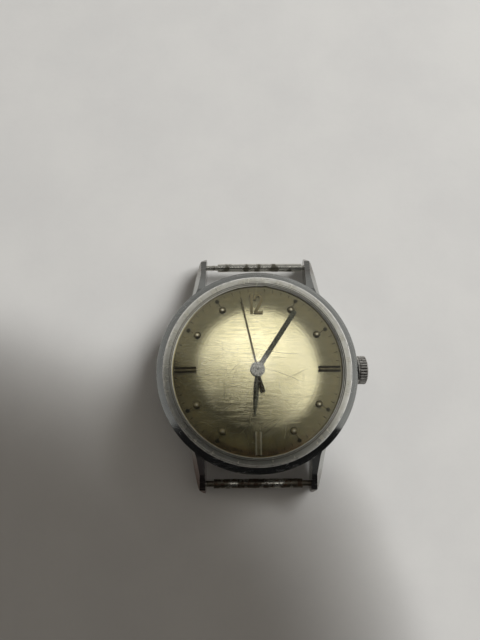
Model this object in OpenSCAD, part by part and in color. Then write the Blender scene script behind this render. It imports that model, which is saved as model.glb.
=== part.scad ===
// Hand-wound three-hand wristwatch head with a pin-lever movement, centre seconds and two spring bars.
// Millimetres. Z = 0 is the outer face of the case back, +Z leaves through the crystal,
// +Y points at 12 o'clock and +X at the crown.

/* [Case] */
// Case band diameter, mm
case_d = 34.95; // [30:0.05:40]
// Gap between the lugs, mm
lug_gap = 18; // [14:0.5:22]
// Distance of each spring bar from the centre, mm
bar_y = 19.25; // [18.5:0.05:21]
// Height of the spring bars, mm
bar_z = 2.3; // [1.8:0.05:3]
// Dial opening diameter, mm
opening_d = 29.1; // [26:0.1:30]
// Height of the crystal's crown, mm
crystal_top = 10.2; // [9.4:0.1:12]

/* [Crown] */
// Crown diameter, mm
crown_d = 5; // [4:0.1:6.5]
// Number of ribs on the crown
crown_ribs = 30; // [18:1:44]
// Height of the winding stem, mm
stem_z = 3.08; // [3:0.02:3.2]

/* [Hands] */
// Minute hand angle, degrees clockwise from 12
minute_angle = 33.5; // [0:0.5:360]
// Hour hand angle, degrees clockwise from 12
hour_angle = 184.3; // [0:0.1:360]
// Seconds hand angle, degrees clockwise from 12
second_angle = 347.4; // [0:0.1:360]
// Minute hand length, mm
minute_len = 11.9; // [10:0.1:13]
// Hour hand length, mm
hour_len = 7.9; // [6:0.1:9]
// Seconds hand length, mm
second_len = 12.6; // [10:0.1:13.4]

/* [Going train] */
// Barrel teeth
barrel_n = 78; // [60:1:90]
// Centre pinion leaves
centre_leaves = 12; // [8:1:14]
// Centre wheel teeth
centre_n = 80; // [60:1:90]
// Third pinion leaves
third_leaves = 10; // [8:1:12]
// Third wheel teeth
third_n = 75; // [60:1:80]
// Fourth pinion leaves
fourth_leaves = 10; // [8:1:12]
// Fourth wheel teeth
fourth_n = 70; // [56:1:80]
// Escape pinion leaves
escape_leaves = 7; // [6:1:10]
// Escape wheel teeth
escape_n = 15; // [12:1:18]

/* [Winding work] */
// Ratchet wheel teeth
ratchet_n = 56; // [40:1:64]
// Crown wheel teeth
crown_wheel_n = 30; // [24:1:36]
// Winding pinion leaves
winding_n = 20; // [16:1:24]

/* [Hidden] */
band_r = case_d / 2;
open_r = opening_d / 2;
lug_x = lug_gap / 2;

// Modules of the gears
m_barrel = 0.13;
m_centre = 0.10;
m_third = m_centre * (centre_n + third_leaves) / (third_n + fourth_leaves);
m_fourth = 0.1165;
m_cannon = 0.115;
m_wind = 0.155;

// Places of the arbors, in plan
barrel_p = pol(m_barrel * (barrel_n + centre_leaves) / 2, 64);
third_p = pol(m_centre * (centre_n + third_leaves) / 2, -75);
escape_p = pol(m_fourth * (fourth_n + escape_leaves) / 2, 215);
balance_p = [-7.63, 2.04];
pallet_dir = dir(escape_p, balance_p);
pallet_p = escape_p + 2.54 * [cos(pallet_dir), sin(pallet_dir)];
crown_wheel_d = m_wind * (crown_wheel_n + ratchet_n) / 2;
crown_wheel_p = [barrel_p[0] + sqrt(pow(crown_wheel_d, 2) - pow(barrel_p[1], 2)), 0];
minute_p = pol(m_cannon * 24, -35);
fork_l = norm(balance_p - pallet_p) - 0.6;
pin_at = [-0.43, 1.22];
setting_p = minute_p + pol(m_cannon * (36 + 18) / 2, 12.6);
click_p = [-2.29, 8.06];
lever_p = [10.9, -2.6];
yoke_p = [8.3, -4.6];

// Phases that put the gears in mesh
centre_a = 0;
barrel_a = mesh(dir([0, 0], barrel_p), centre_a, centre_leaves, barrel_n);
third_a = mesh(dir([0, 0], third_p), centre_a, centre_n, third_leaves);
fourth_a = mesh(dir(third_p, [0, 0]), third_a, third_n, fourth_leaves);
escape_a = mesh(dir([0, 0], escape_p), fourth_a, fourth_n, escape_leaves);
minute_a = mesh(dir([0, 0], minute_p), centre_a, 12, 36);
hour_a = mesh(dir(minute_p, [0, 0]), minute_a, 10, 40);
setting_a = mesh(dir(minute_p, setting_p), minute_a, 36, 18);
crown_wheel_a = 180 / crown_wheel_n;
ratchet_a = mesh(dir(crown_wheel_p, barrel_p), crown_wheel_a, crown_wheel_n, ratchet_n);

// Levels
dial_t = 0.32;
seat_z = 6.03;
wind_z = 1.15;
bridge_z = 1.55;
bridge_top = 2.05;
plate_z = 4.62;
plate_top = 5.45;
work_z = 4.92;

// Dial, flat in the middle and domed down towards its edge
dial_flat = 9.6;
dial_r = [for (i = [0 : 10]) dial_flat + (14.9 - dial_flat) * i / 10];
function dial_top(r) = 6.3 - 0.012 * pow(max(0, r - dial_flat), 2);

// Pillars of the bridges, and the screws' places
barrel_feet = [[9.3, 5.2], [-3.6, 9.3], [9.6, -4.6]];
train_feet = [[4.9, -9.6], [-3.4, -9.9]];
cock_foot = [-10.2, -4.0];
pallet_feet = [pallet_p + pol(2.6, pallet_dir - 90), pallet_p + pol(2.6, pallet_dir + 90)];
winding_x = crown_wheel_p[0] + m_wind * crown_wheel_n / 2 - 1.2 * m_wind + 0.06;

$fn = 64;

// Plane geometry
function pol(r, a) = [r * cos(a), r * sin(a)];
function dir(p, q) = atan2(q[1] - p[1], q[0] - p[0]);
// Angle of gear b that meshes with gear a, whose teeth stand at angle_a, along the line of centres psi
function mesh(psi, angle_a, na, nb) = psi + 180 - (360 / nb) * (0.5 - (psi - angle_a) * na / 360);
// Outline of a wheel with ogive teeth
function wheel_pts(n, m, half = 0.785, add = 1.3, ded = 1.5) =
    let (r = n * m / 2, h = half * m / r * 180 / PI)
    [for (i = [0 : n - 1]) let (a = i * 360 / n)
        each [pol(r - ded * m, a - h), pol(r, a - h), pol(r + 0.6 * add * m, a - 0.66 * h),
            pol(r + add * m, a), pol(r + 0.6 * add * m, a + 0.66 * h), pol(r, a + h),
            pol(r - ded * m, a + h)]];
// Outline of a pinion or a blunt-toothed wheel
function leaf_pts(n, m, half, add, ded, tip = 0.4) =
    let (r = n * m / 2, h = half * m / r * 180 / PI)
    [for (i = [0 : n - 1]) let (a = i * 360 / n)
        each [pol(r - ded * m, a - h), pol(r, a - h), pol(r + add * m, a - tip * h),
            pol(r + add * m, a + tip * h), pol(r, a + h), pol(r - ded * m, a + h)]];
function pinion10_pts(m) = leaf_pts(10, m, 0.525, 0.65, 1.75);
function pinion12_pts(m) = leaf_pts(12, m, 0.6, 0.7, 1.75);
function blunt_pts(n, m) = leaf_pts(n, m, 0.70, 0.9, 1.2, 0.5);
// A flat coil of n turns between two radii
function coil_pts(r0, r1, n, t, steps) = concat(
    [for (i = [0 : n * steps]) pol(r0 + (r1 - r0) * i / (n * steps) + t / 2, i * 360 / steps)],
    [for (i = [n * steps : -1 : 0]) pol(r0 + (r1 - r0) * i / (n * steps) - t / 2, i * 360 / steps)]);

module disc(p, r, z0, z1) {
    translate([p[0], p[1], z0]) cylinder(r = r, h = z1 - z0);
}
module tube(p, r, bore, z0, z1) {
    difference() {
        disc(p, r, z0, z1);
        disc(p, bore, z0 - 1, z1 + 1);
    }
}
module along_x(x0, x1, r, y = 0, z = 0) {
    translate([x0, y, z]) rotate([0, 90, 0]) cylinder(r = r, h = x1 - x0);
}
module slab(pts, z0, z1) {
    translate([0, 0, z0]) linear_extrude(z1 - z0) polygon(pts);
}
// Spoked wheel, flat, with four arms
module spoked(pts, bore, hub, rim, arm, z0, z1) {
    translate([0, 0, z0]) linear_extrude(z1 - z0) difference() {
        polygon(pts);
        circle(bore);
        difference() {
            circle(rim);
            circle(hub);
            square([2 * rim + 1, arm], center = true);
            square([arm, 2 * rim + 1], center = true);
        }
    }
}
// Bar with round ends between two points
module link(p, q, w, z0, z1) {
    a = dir(p, q);
    l = norm(q - p);
    translate([p[0], p[1], z0]) rotate([0, 0, a]) linear_extrude(z1 - z0) union() {
        circle(w / 2);
        translate([l, 0]) circle(w / 2);
        translate([0, -w / 2]) square([l, w]);
    }
}

// Case
module lug() {
    difference() {
        intersection() {
            slab([[lug_x, 13.2], [12, 10.9], [11.85, 11.6], [11.25, 14.2], [10.85, 16.8],
                [10.25, 19.7], [9.95, 20.25], [9.35, 20.7], [lug_x, 20.75]], 0, 7);
            rotate([90, 0, 90]) linear_extrude(14)
                polygon([[10.5, 1.35], [15.5, 1.35], [18, 0.72], [20, 0.42], [20.75, 0.95],
                    [20.8, 2.5], [20.2, 3.3], [17.5, 4.6], [14.5, 5.4], [12.5, 5.6], [10.5, 5.65]]);
        }
        // bevel along the outer edge of the top
        translate([11.4, 11.6, 5.75]) rotate([-14, 0, 11]) rotate([0, 45, 0])
            translate([-3, -3, 0]) cube([6, 14, 3]);
    }
}
module mid_case() {
    color([0.78, 0.79, 0.8]) difference() {
        union() {
            rotate_extrude($fn = 96) polygon([[15.65, 1.35], [16.1, 1.35], [16.9, 1.9],
                [band_r - 0.12, 2.8], [band_r, 3.8], [band_r, 5.32], [band_r - 0.05, 5.42],
                [16.9, 5.8], [16.2, 6.2], [16.16, 6.87], [16.06, 7.0],
                [15.84, 7.0], [15.84, 6.6], [15.54, 6.6], [15.54, 6.2], [open_r, 6.2],
                [open_r, seat_z], [15, seat_z],
                [15, 1.95], [15.65, 1.95]]);
            lug();
            mirror([1, 0, 0]) lug();
            mirror([0, 1, 0]) lug();
            mirror([1, 0, 0]) mirror([0, 1, 0]) lug();
        }
        for (s = [-1, 1]) {
            along_x(lug_x - 0.5, lug_x + 0.9, 0.43, s * bar_y, bar_z);
            along_x(-lug_x - 0.9, -lug_x + 0.5, 0.43, s * bar_y, bar_z);
        }
        along_x(14, 18, 0.95, 0, stem_z);
    }
}
module case_back() {
    color([0.72, 0.73, 0.74]) rotate_extrude($fn = 96) polygon([[0, 0], [13.4, 0], [15.4, 0.5],
        [16.1, 1.2], [15.62, 1.2], [15.62, 1.9], [15.1, 1.9], [15.1, 1.1], [14.6, 0.7], [0, 0.7]]);
}
module back_gasket() {
    color([0.1, 0.1, 0.1]) tube([0, 0], 16.05, 15.66, 1.2, 1.35);
}
function dome(top, edge, r, n) = [for (i = [0 : n])
    [r * i / n, top - (top - edge) * pow(i / n, 2)]];
module crystal() {
    color([0.85, 0.9, 0.92, 0.3]) rotate_extrude($fn = 96) polygon(concat(
        [[15.55, 7.5], [15.55, 6.6], [15.8, 6.6], [15.8, 7.7], [15.65, 7.95]],
        [for (i = [14 : -1 : 0]) dome(crystal_top, 8.1, 15.4, 14)[i]],
        dome(crystal_top - 1.1, 7.6, 15, 12)));
}
module reflector_ring() {
    color([0.8, 0.8, 0.8]) rotate_extrude($fn = 96) polygon([[open_r + 0.02, 6.22],
        [15.53, 6.22], [15.53, 6.75], [15.46, 6.8], [15.14, 6.89], [15.11, 6.85], [15.1, 6.68],
        [14.86, 6.74], [14.82, 6.71], [14.8, 6.47], [open_r + 0.02, 6.5]]);
}
module crown_tube() {
    color([0.75, 0.75, 0.76]) difference() {
        along_x(15, 18.2, 0.95, 0, stem_z);
        along_x(14, 19, 0.6, 0, stem_z);
    }
}
module movement_ring() {
    color([0.62, 0.63, 0.65]) difference() {
        rotate_extrude($fn = 96) polygon([[12.85, 2.2], [14.3, 2.2], [14.5, 1.2], [14.95, 1.2],
            [14.95, 5.61], [12.85, 5.83]]);
        along_x(12, 16, 0.75, 0, stem_z);
    }
}

// Dial and markers
module dial() {
    color([0.72, 0.62, 0.36]) union() {
        rotate_extrude($fn = 96) polygon(concat([[1, dial_top(0)]],
            [for (r = dial_r) [r, dial_top(r)]],
            [for (i = [10 : -1 : 0]) [dial_r[i], dial_top(dial_r[i]) - dial_t]],
            [[1, dial_top(0) - dial_t]]));
        for (a = [100, 280]) {
            disc(pol(11.9, a), 0.35, 4.9, 6.05);
        }
    }
}
module numeral_two() {
    polygon([[-0.02, 0], [1.56, 0], [1.56, 0.62], [1.4, 0.62], [1.3, 0.43], [0.66, 0.43],
        [1.4, 1.72], [1.55, 2.16], [1.59, 2.62], [1.49, 3.08], [1.23, 3.44], [0.85, 3.6],
        [0.46, 3.56], [0.17, 3.34], [0.02, 3.0], [-0.02, 2.56], [0.38, 2.48], [0.44, 2.86],
        [0.62, 3.12], [0.85, 3.18], [1.02, 3.02], [1.1, 2.64], [1.04, 2.24], [0.9, 1.92],
        [0, 0.42]]);
}
module pearl(a) {
    translate([11.8 * sin(a), 11.8 * cos(a), dial_top(11.2) - 0.01]) intersection() {
        sphere(r = 0.62, $fn = 24);
        translate([-1, -1, 0.02]) cube([2, 2, 2]);
    }
}
// Strip of width w on the dial between two radii, between two heights above its face
module dial_strip(r0, r1, z0, z1, w) {
    r = [for (i = [0 : 4]) r0 + (r1 - r0) * i / 4];
    rotate([90, 0, 0]) translate([0, 0, -w / 2]) linear_extrude(w) polygon(concat(
        [for (q = r) [q, dial_top(q) + z0]], [for (i = [4 : -1 : 0]) [r[i], dial_top(r[i]) + z1]]));
}
module baton(a) {
    rotate([0, 0, 90 - a]) difference() {
        dial_strip(10.35, 14.1, 0.012, 0.36, 1);
        dial_strip(10.2, 14.3, 0.2, 0.6, 0.2);
    }
}
module hour_markers() {
    color([0.8, 0.68, 0.36]) {
        translate([0, 9.5, 6.33]) rotate([-1.9, 0, 0]) linear_extrude(0.34) {
            translate([-1.13, 0])
                polygon([[0, 0], [0.5, 0], [0.5, 3.6], [0.24, 3.6], [-0.14, 3.25], [0, 3.08]]);
            translate([-0.5, 0]) numeral_two();
        }
        for (h = [1, 2, 4, 5, 7, 8, 10, 11]) {
            pearl(h * 30);
        }
        for (h = [3, 6, 9]) {
            baton(h * 30);
        }
    }
}

// Movement frame
module screw_hole(p, z, depth) {
    disc(p, 0.82, z - 1, z + 0.25);
    disc(p, 0.4, z, z + depth);
}
module main_plate() {
    color([0.8, 0.76, 0.62]) difference() {
        union() {
            disc([0, 0], 12.8, plate_z, plate_top);
            tube([0, 0], 12.8, 12.2, 4.0, 5.84);
            for (p = barrel_feet) disc(p, 1.2, bridge_top, plate_z + 0.1);
            for (p = train_feet) disc(p, 1.2, bridge_top, plate_z + 0.1);
            disc(cock_foot, 1.3, 1.55, plate_z + 0.1);
            intersection() {
                slab([[5.5, -2.5], [12.3, -2.5], [12.3, 2.5], [5.5, 2.5]], 2.1, plate_z + 0.1);
                disc([0, 0], 12.5, 2, 5);
            }
            disc(setting_p, 1.45, 3.65, plate_z + 0.1);
        }
        // room for the barrel
        disc(barrel_p, 5.38, 2, plate_z - 0.02);
        // clutch and winding pinion window, and the stem's bearings
        translate([6.45, -1.95, 1.5]) cube([3.25, 3.9, 5]);
        along_x(5, 6.6, 0.3, 0, stem_z);
        along_x(9.5, 13, 0.62, 0, stem_z);
        translate([10.1, -0.6, stem_z]) cube([2, 0.95, 4]);
        // motion work recess and keyless work recess
        disc([0, 0], 2.7, work_z, 6);
        difference() {
            disc(minute_p, 2.45, work_z, 6);
            disc(minute_p, 0.28, work_z, 5.5);
        }
        difference() {
            disc(setting_p, 1.3, 3.97, 6);
            disc(setting_p, 0.4, 3.9, 5.2);
        }
        slab([[6.6, 0.6], [12, 0.6], [12, -2], [11.6, -4.3], [10.2, -6.4], [8.9, -7.2], [6.6, -7.2]],
            4.95, 6);
        // arbor bores
        disc([0, 0], 0.41, 4, 6);
        disc(barrel_p, 0.48, 4, 6);
        for (p = [third_p, escape_p]) disc(p, 0.12, 4, 6);
        for (p = [pallet_p, balance_p]) disc(p, 0.1, 4, 6);
        for (a = [100, 280]) disc(pol(11.9, a), 0.37, 4, 6);
        for (p = concat(barrel_feet, train_feet)) disc(p, 0.4, 2, 3.76);
        disc(cock_foot, 0.4, 1, 3.26);
        for (p = pallet_feet) disc(p, 0.4, 4, 5.26);
    }
}
module barrel_bridge() {
    color([0.82, 0.82, 0.84]) difference() {
        intersection() {
            slab([[1.8, 2.2], [2.9, -1.3], [6.6, -7.6], [12, -6], [12.5, 0], [11, 7], [6, 12],
                [-1, 12.4], [-5.4, 10.6], [-5.2, 7.2], [-1.2, 4]], bridge_z, bridge_top);
            disc([0, 0], 12.3, 1, 3);
        }
        disc(balance_p, 4.3, 1, 3);
        translate([6.45, -1.3, 1.85]) cube([2.5, 2.6, 1]);
        translate([winding_x - 0.1, -1.95, 1]) cube([0.9, 3.9, 2]);
        translate([6.45, -1.3, 1.85]) cube([3.5, 2.6, 1]);
        disc(barrel_p, 0.78, 1, 3);
        disc(crown_wheel_p, 0.4, 1, 1.86);
        disc(click_p, 0.3, 1, 3);
        for (p = barrel_feet) screw_hole(p, bridge_z, 2);
    }
}
module train_bridge() {
    color([0.82, 0.82, 0.84]) difference() {
        intersection() {
            slab([[-1.5, 1.5], [0.9, 1.5], [1.9, -1.5], [6.3, -8.6], [6, -10.4], [-2, -12],
                [-5, -10.6], [-5.4, -3.6], [-4.4, -1.4]], bridge_z, bridge_top);
            disc([0, 0], 12.3, 1, 3);
        }
        disc(balance_p, 4.3, 1, 3);
        for (p = [[0, 0], third_p, escape_p]) disc(p, 0.12, 1, 3);
        for (p = train_feet) screw_hole(p, bridge_z, 2);
    }
}
module pallet_bridge() {
    color([0.82, 0.82, 0.84]) difference() {
        union() {
            link(pallet_feet[0], pallet_feet[1], 1.2, 3.05, 3.4);
            for (p = pallet_feet) disc(p, 0.95, 3.05, plate_z);
        }
        disc(pallet_p, 0.1, 3, 3.5);
        for (p = pallet_feet) {
            disc(p, 0.82, 2, 3.3);
            disc(p, 0.4, 3.2, 5);
        }
    }
}
module balance_cock() {
    color([0.82, 0.82, 0.84]) difference() {
        union() {
            link(cock_foot, balance_p, 2.4, 1.05, 1.5);
            disc(cock_foot, 1.3, 1.05, 1.55);
            disc(balance_p, 0.6, 0.85, 1.1);
            disc(balance_p + pol(2.1, -113), 0.22, 1.4, 1.85);
        }
        disc(balance_p, 0.1, 0, 3);
        screw_hole(cock_foot, 1.05, 2);
    }
}
module screw(p, z) {
    difference() {
        union() {
            disc(p, 0.8, z, z + 0.25);
            disc(p, 0.4, z + 0.2, z + 2.2);
        }
        translate([p[0] - 1, p[1] - 0.09, z - 0.1]) cube([2, 0.18, 0.22]);
    }
}
module bridge_screws() {
    color([0.45, 0.5, 0.62]) {
        for (p = concat(barrel_feet, train_feet)) screw(p, bridge_z);
        screw(cock_foot, 1.05);
        for (p = pallet_feet) screw(p, 3.05);
    }
}
module crown_wheel_screw() {
    color([0.45, 0.5, 0.62]) difference() {
        union() {
            disc(crown_wheel_p, 1.1, 0.93, 1.12);
            disc(crown_wheel_p, 0.7, 1.1, 1.55);
            disc(crown_wheel_p, 0.4, 1.5, 1.82);
        }
        translate([crown_wheel_p[0] - 1.5, -0.1, 0.8]) cube([3, 0.2, 0.24]);
    }
}
module click_spring() {
    color([0.5, 0.5, 0.52]) slab([[-0.6, 10.7], [-0.6, 11.3], [-1.3, 11.3], [-1.9, 10.4],
        [-2.35, 9.3], [-2.2, 9.25], [-1.7, 10.1], [-1.2, 10.7]], 1.2, bridge_z);
}
module setting_spring() {
    color([0.5, 0.5, 0.52]) slab([[11.4, -4.2], [10.95, -4.9], [10, -6], [9, -6.6], [8.85, -6.35],
        [9.8, -5.7], [10.6, -4.75], [11, -4.15]], 4.95, 5.3);
}

// Barrel and winding work
module barrel_drum() {
    color([0.78, 0.66, 0.36]) translate([barrel_p[0], barrel_p[1], 0]) {
        difference() {
            union() {
                disc([0, 0], 4.6, 3.25, 4.5);
                rotate([0, 0, barrel_a]) slab(wheel_pts(barrel_n, m_barrel), 3.85, 4.25);
            }
            disc([0, 0], 4.35, 3, 4.3);
            disc([0, 0], 0.6, 3, 5);
        }
    }
}
module barrel_cover() {
    color([0.78, 0.66, 0.36]) tube(barrel_p, 4.6, 0.8, 3.05, 3.25);
}
module mainspring() {
    color([0.35, 0.4, 0.5]) translate([barrel_p[0], barrel_p[1], 0])
        slab(coil_pts(1.3, 4.27, 7, 0.13, 30), 3.3, 4.25);
}
module barrel_arbor() {
    color([0.62, 0.62, 0.64]) translate([barrel_p[0], barrel_p[1], 0]) union() {
        disc([0, 0], 0.45, 4.5, 5.15);
        disc([0, 0], 0.57, 4.28, 4.52);
        disc([0, 0], 1.22, 3.28, 4.28);
        disc([0, 0], 0.75, 1.5, 3.3);
        translate([-0.45, -0.45, 1.12]) cube([0.9, 0.9, 0.5]);
    }
}
module ratchet_wheel() {
    color([0.7, 0.7, 0.72]) translate([barrel_p[0], barrel_p[1], wind_z]) difference() {
        rotate([0, 0, ratchet_a]) linear_extrude(0.35) polygon(blunt_pts(ratchet_n, m_wind));
        translate([-0.45, -0.45, -1]) cube([0.9, 0.9, 3]);
    }
}
module crown_wheel() {
    color([0.7, 0.7, 0.72]) translate([crown_wheel_p[0], 0, wind_z]) difference() {
        rotate([0, 0, crown_wheel_a]) linear_extrude(0.35) polygon(blunt_pts(crown_wheel_n, m_wind));
        disc([0, 0], 0.72, -1, 2);
    }
}
module click() {
    color([0.7, 0.7, 0.72]) union() {
        slab([[-2.95, 8.5], [-2.6, 8.85], [-1.9, 8.75], [-1.35, 8.1], [-1.0, 7.98],
            [-1.25, 7.75], [-1.8, 7.45], [-2.5, 7.4], [-2.95, 7.8]], 1.2, 1.45);
        disc(click_p, 0.28, 1.4, 1.9);
    }
}

// Going train
module centre_wheel() {
    color([0.82, 0.68, 0.36]) rotate([0, 0, centre_a])
        spoked(wheel_pts(centre_n, m_centre), 0.5, 1.0, 3.45, 0.5, 2.8, 2.95);
}
module centre_arbor() {
    color([0.62, 0.62, 0.64]) rotate([0, 0, centre_a]) difference() {
        union() {
            disc([0, 0], 0.5, 2.76, 3.2);
            slab(pinion12_pts(m_barrel), 3.15, 4.45);
            disc([0, 0], 0.38, 4.4, 6.95);
        }
        disc([0, 0], 0.25, 2, 8);
    }
}
module third_wheel() {
    color([0.82, 0.68, 0.36]) translate([third_p[0], third_p[1], 0]) rotate([0, 0, third_a])
        spoked(wheel_pts(third_n, m_third), 0.25, 0.8, 3.4, 0.45, 2.48, 2.63);
}
module third_arbor() {
    color([0.62, 0.62, 0.64]) translate([third_p[0], third_p[1], 0]) rotate([0, 0, third_a]) union() {
        disc([0, 0], 0.1, 1.7, 5.1);
        disc([0, 0], 0.18, 2.08, 2.5);
        disc([0, 0], 0.25, 2.48, 4.59);
        slab(pinion10_pts(m_centre), 2.7, 3.15);
    }
}
module fourth_wheel() {
    color([0.82, 0.68, 0.36]) rotate([0, 0, fourth_a])
        spoked(wheel_pts(fourth_n, m_fourth), 0.25, 0.8, 3.5, 0.45, 2.2, 2.35);
}
module fourth_arbor() {
    color([0.62, 0.62, 0.64]) rotate([0, 0, fourth_a]) union() {
        disc([0, 0], 0.1, 1.65, 2.2);
        disc([0, 0], 0.25, 2.08, 2.45);
        slab(pinion10_pts(m_third), 2.42, 2.72);
        disc([0, 0], 0.22, 2.6, 7.4);
    }
}
module escape_wheel() {
    color([0.82, 0.68, 0.36]) translate([escape_p[0], escape_p[1], 3.75]) rotate([0, 0, escape_a])
        linear_extrude(0.15) difference() {
            polygon([for (i = [0 : escape_n - 1]) let (a = i * 360 / escape_n)
                each [pol(1.7, a), pol(1.72, a + 15), pol(2.2, a + 21), pol(2.2, a + 22.5)]]);
            circle(0.2);
            difference() {
                circle(1.4);
                circle(0.5);
                square([4, 0.35], center = true);
                square([0.35, 4], center = true);
            }
        }
}
module escape_arbor() {
    color([0.62, 0.62, 0.64]) translate([escape_p[0], escape_p[1], 0]) rotate([0, 0, escape_a]) union() {
        disc([0, 0], 0.1, 1.7, 5.1);
        disc([0, 0], 0.2, 2.08, 4.59);
        slab(leaf_pts(escape_leaves, m_fourth, 0.525, 0.65, 1.75), 2.12, 2.5);
    }
}

// Escapement; drawn with the balance along +X from the pallet arbor
module pallet_frame() {
    translate([pallet_p[0], pallet_p[1], 0]) rotate([0, 0, pallet_dir]) children();
}
module pallet_fork() {
    color([0.8, 0.7, 0.45]) pallet_frame() translate([0, 0, 3.52]) linear_extrude(0.15) difference() {
        union() {
            circle(0.45);
            translate([0, -0.16]) square([fork_l - 0.35, 0.32]);
            translate([fork_l - 0.45, -0.42]) square([0.62, 0.84]);
            for (s = [-1, 1]) {
                translate([pin_at[0], s * pin_at[1]]) circle(0.2);
                rotate([0, 0, atan2(s * pin_at[1], pin_at[0])]) translate([0, -0.15])
                    square([norm(pin_at), 0.3]);
            }
        }
        circle(0.15);
        translate([fork_l - 0.22, -0.15]) square([1, 0.3]);
        for (s = [-1, 1]) translate([pin_at[0], s * pin_at[1]]) circle(0.08);
    }
}
module pallet_arbor() {
    color([0.62, 0.62, 0.64]) pallet_frame() {
        disc([0, 0], 0.08, 3.1, 5);
        disc([0, 0], 0.15, 3.43, 4.59);
        for (s = [-1, 1]) disc([pin_at[0], s * pin_at[1]], 0.08, 3.52, 3.92);
    }
}
module balance_wheel() {
    color([0.82, 0.7, 0.4]) translate([balance_p[0], balance_p[1], 1.86]) rotate([0, 0, 20])
        linear_extrude(0.26) difference() {
            circle(3.9);
            circle(0.3);
            difference() {
                circle(3.4);
                circle(0.7);
                square([8, 0.5], center = true);
            }
        }
}
module balance_staff() {
    color([0.62, 0.62, 0.64]) {
        translate([balance_p[0], balance_p[1], 0]) union() {
            disc([0, 0], 0.08, 0.9, 5);
            disc([0, 0], 0.16, 1.52, 4.59);
            disc([0, 0], 0.3, 1.8, 2.4);
            disc([0, 0], 0.75, 3.22, 3.37);
            rotate([0, 0, pallet_dir + 180]) disc([0.6, 0], 0.09, 3.3, 3.7);
        }
    }
}
module hairspring() {
    color([0.35, 0.45, 0.7]) translate([balance_p[0], balance_p[1], 0])
        slab(coil_pts(0.42, 2.0, 8, 0.05, 24), 1.58, 1.7);
}
module regulator() {
    color([0.62, 0.62, 0.64]) translate([balance_p[0], balance_p[1], 0]) rotate([0, 0, 67])
        difference() {
            union() {
                disc([0, 0], 1.0, 0.86, 1.03);
                link([0, 0], [1.85, 0], 0.45, 0.86, 1.03);
                link([0, 0], [-2.9, 0.5], 0.35, 0.86, 1.03);
                for (s = [0]) disc([2.14 - 0.3, s], 0.06, 0.9, 1.55);
            }
            disc([0, 0], 0.62, 0, 2);
        }
}

// Motion work and keyless work
module cannon_pinion() {
    color([0.62, 0.62, 0.64]) rotate([0, 0, centre_a]) difference() {
        union() {
            slab(pinion12_pts(m_cannon), 4.95, 5.22);
            disc([0, 0], 0.62, 5.22, 7.12);
        }
        disc([0, 0], 0.38, 4, 8);
    }
}
module minute_wheel() {
    color([0.78, 0.66, 0.36]) translate([minute_p[0], minute_p[1], 0]) rotate([0, 0, minute_a])
        difference() {
            union() {
                slab(wheel_pts(36, m_cannon), 4.96, 5.16);
                slab(pinion10_pts(m_cannon * 24 / 25), 5.16, 5.5);
            }
            disc([0, 0], 0.3, 4, 6);
        }
}
module hour_wheel() {
    color([0.78, 0.66, 0.36]) rotate([0, 0, hour_a]) difference() {
        union() {
            slab(wheel_pts(40, m_cannon * 24 / 25), 5.26, 5.46);
            disc([0, 0], 0.85, 5.4, 6.78);
        }
        disc([0, 0], 0.64, 5, 7);
    }
}
module setting_wheel() {
    color([0.7, 0.7, 0.72]) translate([setting_p[0], setting_p[1], 0]) rotate([0, 0, setting_a])
        difference() {
            slab(wheel_pts(18, m_cannon, 0.7, 1.1, 1.5), 4.02, 5.16);
            disc([0, 0], 0.43, 3, 6);
        }
}
module winding_stem() {
    color([0.6, 0.6, 0.62]) difference() {
        union() {
            along_x(5.0, 6.6, 0.28, 0, stem_z);
            translate([6.5, -0.31, stem_z - 0.31]) cube([2.3, 0.62, 0.62]);
            along_x(8.75, 9.65, 0.45, 0, stem_z);
            along_x(9.65, 11.9, 0.6, 0, stem_z);
            along_x(11.8, 18.9, 0.5, 0, stem_z);
        }
        difference() {
            along_x(10.4, 10.95, 1, 0, stem_z);
            along_x(10, 11.4, 0.35, 0, stem_z);
        }
    }
}
module crown() {
    color([0.3, 0.3, 0.32]) translate([17.62, 0, stem_z]) rotate([0, 90, 0]) difference() {
        union() {
            cylinder(r = crown_d / 2 - 0.16, h = 0.32);
            translate([0, 0, 0.3]) linear_extrude(1.2) polygon([for (i = [0 : crown_ribs - 1])
                let (a = i * 360 / crown_ribs, w = 360 / crown_ribs, r = crown_d / 2)
                each [pol(r - 0.2, a), pol(r - 0.03, a + 0.2 * w), pol(r, a + 0.45 * w),
                    pol(r - 0.03, a + 0.7 * w), pol(r - 0.2, a + 0.9 * w)]]);
            translate([0, 0, 1.5]) rotate_extrude() polygon([[0, 0], [crown_d / 2 - 0.2, 0],
                [crown_d / 2 - 0.3, 0.14], [crown_d / 2 - 0.7, 0.3], [crown_d / 2 - 1.4, 0.43],
                [0, 0.5]]);
        }
        translate([0, 0, -1]) cylinder(r = 1.35, h = 1.75);
        cylinder(r = 0.5, h = 1.28);
    }
}
module crown_gasket() {
    color([0.1, 0.1, 0.1]) difference() {
        along_x(17.66, 18.06, 1.35, 0, stem_z);
        along_x(17, 19, 0.97, 0, stem_z);
    }
}
module winding_pinion() {
    color([0.62, 0.62, 0.64]) translate([winding_x, 0, stem_z]) rotate([0, 90, 0]) difference() {
        rotate([0, 0, 0]) linear_extrude(0.7) polygon(leaf_pts(winding_n, m_wind * 1.062, 0.55, 0.8, 1.5));
        translate([0, 0, -1]) cylinder(r = 0.47, h = 3);
    }
}
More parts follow.
